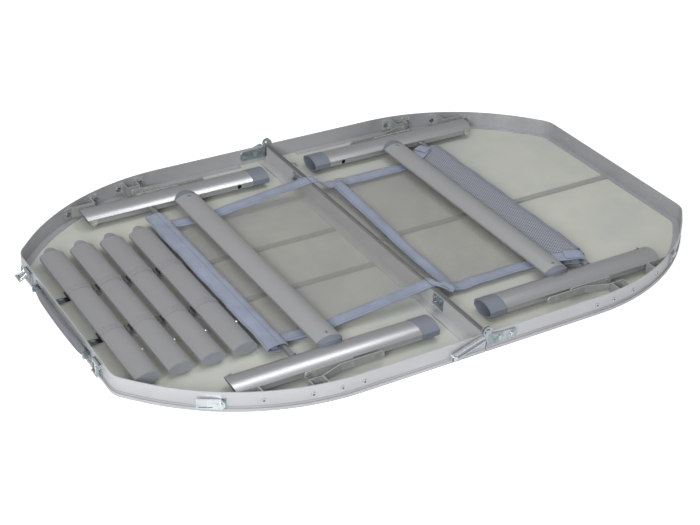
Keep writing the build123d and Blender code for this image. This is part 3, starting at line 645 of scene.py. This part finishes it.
# Mesh folded back over the right-hand rod, with an edge tape along its outer shoulder.
FOLD_COLUMNS = 44
FOLD_SHOULDER = slice(27, 33)
fold_section = [(-43, 0.4), (-36, 3.2), (-26, 4.6), (-14, 7.4), (-5, 9.8), (2, 10.4), (10, 9.9), (17, 8.2),
                (22, 3.0), (22.5, -1.0), (20, -5.2), (15, -7.6)]
profile = resample(fold_section, FOLD_COLUMNS)
points = np.zeros((HEM_ROWS, FOLD_COLUMNS, 3))
out = smoothstep(profile[:, 0], -2 * MM, 20 * MM)
inward = 1 - smoothstep(profile[:, 0], -42 * MM, -20 * MM)
for i, y in enumerate(np.linspace(-hem_half + 12 * MM, hem_half - 10 * MM, HEM_ROWS)):
    wave = 0.9 * MM * math.sin(y * 29) + 0.6 * MM * math.sin(y * 67 + 1)
    points[i, :, 0] = rod_x + profile[:, 0] + out * wave + inward * 1.2 * MM * math.sin(y * 37)
    points[i, :, 1] = y
    points[i, :, 2] = rod_z + profile[:, 1] + 0.4 * MM * np.sin(profile[:, 0] * 260 + y * 90)
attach(sheet("right_net_folded_mesh", points, 0.9 * MM, "fold_mesh"), "right_net_hem")
edge_tape = points[:, FOLD_SHOULDER] + np.array([0.6 * MM, 0, 1.0 * MM])
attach(sheet("right_net_folded_edge", edge_tape, 0.9 * MM, "edge_tape"), "right_net_hem")


def tape_end(name, start, end, width, rise, phase):
    """Loose end of binding tape: a strip from start to end that doubles back on itself there."""
    start, end = np.array(start, float), np.array(end, float)
    run = end - start
    side_way = np.array([-run[1], run[0], 0]) / np.hypot(run[0], run[1])
    forth, settled = 0.62, 0.72  # shares of the strip where it bends, and where it lies flat on itself again
    rows, columns = 40, 9
    strip = np.zeros((rows, columns, 3))
    for i, t in enumerate(np.linspace(0, 1, rows)):
        back = max(t - forth, 0.0)
        along = t / forth if t < forth else 1 - back / forth
        over = 2.6 * MM * smoothstep(t, forth, settled)
        bulge = 1.32 * MM * math.exp(-((t - forth) / 0.06) ** 2)
        centre = start + run * along
        centre[2] += rise * math.sin(math.pi * along) + over + 0.5 * MM * math.sin(9 * along + phase)
        for j, w in enumerate(np.linspace(-0.5, 0.5, columns)):
            crown = np.array([0, 0, 0.6 * MM * math.cos(3 * w)])
            strip[i, j] = centre + side_way * (w * width + back * 9 * MM) + crown
            strip[i, j, :2] += (run / np.linalg.norm(run))[:2] * bulge
    return sheet(name, strip, 1.2 * MM, "tape")


corner_z = rod_z + 9.6 * MM
for word, start, end, width, rise, phase in (
    ("front", (262 * MM, -hem_half + 13 * MM, corner_z - 5 * MM),
     (318 * MM, -hem_half - 9 * MM, corner_z - 1 * MM), 27 * MM, 2 * MM, 0.4),
    ("under", (280 * MM, -hem_half + 2 * MM, corner_z - 13 * MM),
     (322 * MM, -hem_half - 15 * MM, corner_z - 11 * MM), 15 * MM, 1 * MM, 0.2),
    ("back", (262 * MM, hem_half - 26 * MM, corner_z - 5 * MM),
     (300 * MM, hem_half - 4 * MM, corner_z), 26 * MM, 2 * MM, 1.7),
):
    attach(tape_end(f"right_net_{word}_corner", start, end, width, rise, phase), "right_net_hem")
tail = tape_end("right_net_tape_tail", (4 * MM, -net_half + 7 * MM, net_top + 0.8 * MM),
                (26 * MM, -net_half - 27 * MM, net_top - 1.5 * MM), 12 * MM, 2.5 * MM, 0.9)
ride_net(tail)


# ---------------------------------------------------------------- carry handle

grip_low, grip_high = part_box("carry_handle")
grip_z = (grip_low.z + grip_high.z) / 2
grip_reach = grip_high.y - 1 * MM
grip_out = grip_low.x + 3.2 * MM  # centre of the strap where it bows out furthest
grip_in = grip_high.x - 4.5 * MM  # and at its ends
GRIP_ROWS, GRIP_SIDES = 120, 40

# The strap is a rounded box in section, with a fine groove along both long edges, and shrinks to its ends.
verts, faces = [], []
for y in np.linspace(-grip_reach, grip_reach, GRIP_ROWS):
    t = abs(y) / grip_reach
    centre_x = grip_out + (grip_in - grip_out) * t**2.2
    half_height = (10.4 - 2.6 * smoothstep(t, 0.72, 1.0)) * MM
    half_depth = (3.0 - 1.0 * smoothstep(t, 0.8, 1.0)) * MM
    shrink = 1 - 0.5 * smoothstep(t, 0.975, 1.0)
    groove_depth = 0.5 * MM * (1 - smoothstep(t, 0.8, 0.95))
    for k in range(GRIP_SIDES):
        angle = 2 * math.pi * k / GRIP_SIDES
        c, s = math.cos(angle), math.sin(angle)
        u = math.copysign(abs(c) ** 0.5, c)
        v = math.copysign(abs(s) ** 0.42, s)
        groove = groove_depth * math.exp(-((abs(v) - 0.78) / 0.06) ** 2)
        verts.append((centre_x + u * (half_depth - groove) * shrink, y, grip_z + v * half_height * shrink))
for i in range(GRIP_ROWS - 1):
    for k in range(GRIP_SIDES):
        n = (k + 1) % GRIP_SIDES
        a, b = i * GRIP_SIDES + k, i * GRIP_SIDES + n
        faces.append((a, a + GRIP_SIDES, b + GRIP_SIDES, b))
faces.append(tuple(range(GRIP_SIDES)))
faces.append(tuple(reversed(range((GRIP_ROWS - 1) * GRIP_SIDES, GRIP_ROWS * GRIP_SIDES))))
grip = make_object("carry_handle_grip", verts, faces, "handle")
point_outward(grip)
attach(grip, "carry_handle")
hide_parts("carry_handle")


# ---------------------------------------------------------------- clear bands on the extension tubes

BAND_PLACE = 71 * MM  # from the middle of the tube
BAND_HALF = 8 * MM
BAND_THICK, BAND_GAP = 0.5 * MM, 0.8 * MM  # the gap is from the tube to the middle of the film
BAND_ROWS = 9
for number in range(1, 5):
    low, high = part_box(f"extension_{number}_tube")
    centre_x = (low.x + high.x) / 2
    centre_z = (low.z + high.z) / 2
    half_w = (high.x - low.x) / 2 + BAND_GAP
    half_h = (high.z - low.z) / 2 + BAND_GAP
    # Section over the upper half of the tube: upright at both sides, an arc between the shoulders.
    foot, shoulder = 0.6 * MM, 3.0 * MM
    radius = (half_w**2 + (half_h - shoulder) ** 2) / (2 * (half_h - shoulder))
    limit = math.asin(min(1.0, half_w / radius))
    ring = [(half_w, foot), (half_w, shoulder)]
    for angle in np.linspace(limit, -limit, 21)[1:-1]:
        ring.append((radius * math.sin(angle), half_h - radius + radius * math.cos(angle)))
    ring += [(-half_w, shoulder), (-half_w, foot)]
    for row, middle_y in (("back", BAND_PLACE), ("front", -BAND_PLACE)):
        points = np.zeros((BAND_ROWS, len(ring), 3))
        for i, y in enumerate(np.linspace(-BAND_HALF, BAND_HALF, BAND_ROWS)):
            scale = 1 + 0.15 * MM * (1 - (y / BAND_HALF) ** 2) / half_w
            for j, (x, z) in enumerate(ring):
                points[i, j] = (centre_x + x * scale, middle_y + y, centre_z + z * scale)
        band = sheet(f"extension_{number}_{row}_band", points, BAND_THICK, "film")
        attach(band, f"extension_{number}")


# ---------------------------------------------------------------- stage, light and camera

def area_light(name, place, target, size, power):
    """A white rectangular light at a place, turned to its target; the power is in watts."""
    data = bpy.data.lights.new(name, "AREA")
    data.shape = "RECTANGLE"
    data.size, data.size_y = size
    data.energy = power
    lamp = bpy.data.objects.new(name, data)
    bpy.context.scene.collection.objects.link(lamp)
    lamp.location = place
    lamp.rotation_euler = (Vector(target) - Vector(place)).to_track_quat("-Z", "Y").to_euler()


area_light("key_light", (-2.1, -2.1, 1.5), (-0.1, 0, 0), (1.5, 1.0), 74)
area_light("top_light", (-0.6, -0.5, 2.6), (-0.2, 0, 0), (1.6, 1.6), 16)
area_light("sheen_light", (0.6, 0.25, 2.1), (-0.3, -0.3, 0), (0.7, 0.4), 8)

WHITE = (1.0, 1.0, 1.0, 1.0)
FLOOR_HALF = 60  # far enough that no low view shows its edge
FLOOR_DROP = 0.6 * MM
STUDIO_LIGHT, BACKDROP_LIGHT = 0.36, 1.0  # of the world, as it lights the table and as the camera sees it
FLOOR_GLOW = 0.5  # added where the camera sees the floor, so that it reads as white paper

floor_mesh = bpy.data.meshes.new("floor")
corners = [(x * FLOOR_HALF, y * FLOOR_HALF, 0) for x, y in ((-1, -1), (1, -1), (1, 1), (-1, 1))]
floor_mesh.from_pydata(corners, [], [(0, 1, 2, 3)])
floor = bpy.data.objects.new("floor", floor_mesh)
floor.location.z = -FLOOR_DROP
bpy.context.scene.collection.objects.link(floor)
paper = Finish("floor_paper", 0.0, 0.9)
paper.colour(paper.mix(paper.noise(3.0, 3.0), srgb(252, 252, 252), srgb(255, 255, 255)))
paper.put(paper.body.inputs["Emission Color"], WHITE)
seen = paper.node("ShaderNodeLightPath").outputs["Is Camera Ray"]
paper.put(paper.body.inputs["Emission Strength"], paper.combine(seen, FLOOR_GLOW, "MULTIPLY"))
floor_mesh.materials.append(paper.material)

world = bpy.data.worlds.new("studio")
world.use_nodes = True
world_nodes, world_links = world.node_tree.nodes, world.node_tree.links
background = world_nodes["Background"]
background.inputs["Color"].default_value = WHITE
backdrop = world_nodes.new("ShaderNodeMapRange")
backdrop.inputs["To Min"].default_value = STUDIO_LIGHT
backdrop.inputs["To Max"].default_value = BACKDROP_LIGHT
ray = world_nodes.new("ShaderNodeLightPath")
world_links.new(ray.outputs["Is Camera Ray"], backdrop.inputs["Value"])
world_links.new(backdrop.outputs["Result"], background.inputs["Strength"])
bpy.context.scene.world = world
bpy.context.scene.view_settings.view_transform = "Standard"

# Camera: a longish lens that looks down from the handle end and the near long side. Angles in radians.
CAMERA_PLACE = (-1.2871, -1.9653, 1.4048)
CAMERA_YAW, CAMERA_DIP, CAMERA_ROLL = 0.5687, 0.5509, 0.0482
CAMERA_LENS, CAMERA_SENSOR = 74.57, 36  # millimetres
forward = Vector((math.sin(CAMERA_YAW) * math.cos(CAMERA_DIP), math.cos(CAMERA_YAW) * math.cos(CAMERA_DIP),
                  -math.sin(CAMERA_DIP)))
right = Vector((math.cos(CAMERA_YAW), -math.sin(CAMERA_YAW), 0))
upward = right.cross(forward)
tilted_right = right * math.cos(CAMERA_ROLL) + upward * math.sin(CAMERA_ROLL)
tilted_up = upward * math.cos(CAMERA_ROLL) - right * math.sin(CAMERA_ROLL)
camera_data = bpy.data.cameras.new("camera")
camera_data.lens = CAMERA_LENS
camera_data.sensor_width = CAMERA_SENSOR
camera = bpy.data.objects.new("camera", camera_data)
turn = Matrix((tilted_right, tilted_up, -forward)).transposed().to_4x4()
camera.matrix_world = Matrix.Translation(CAMERA_PLACE) @ turn
bpy.context.scene.collection.objects.link(camera)
bpy.context.scene.camera = camera
